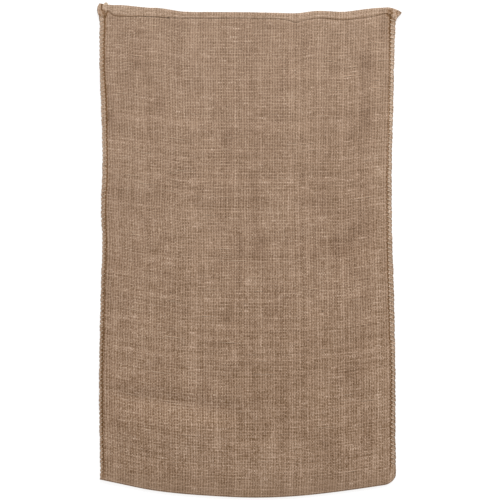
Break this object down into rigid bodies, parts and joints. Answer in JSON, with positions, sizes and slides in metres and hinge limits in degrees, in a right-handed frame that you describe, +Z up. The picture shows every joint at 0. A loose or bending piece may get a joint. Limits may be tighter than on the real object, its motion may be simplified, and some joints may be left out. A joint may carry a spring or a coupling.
{
  "type": "jute sack",
  "caption": "Empty jute sack lying flat on its back, folded at the bottom, whip-sewn up both sides, with a turned hem round the open mouth.",
  "frame": {"origin": "on the surface the sack lies on, under the middle of its bounding box", "axes": "+Y along the sack towards its mouth, +X towards its right side seam, +Z up out of the front panel"},
  "size_m": [0.6192, 1.0054, 0.0172],
  "materials": {
    "jute": "natural brown jute hessian, open plain weave with slubs, matt"
  },
  "bodies": {
    "root": {"sack_cloth": "jute"}
  },
  "joints": []
}
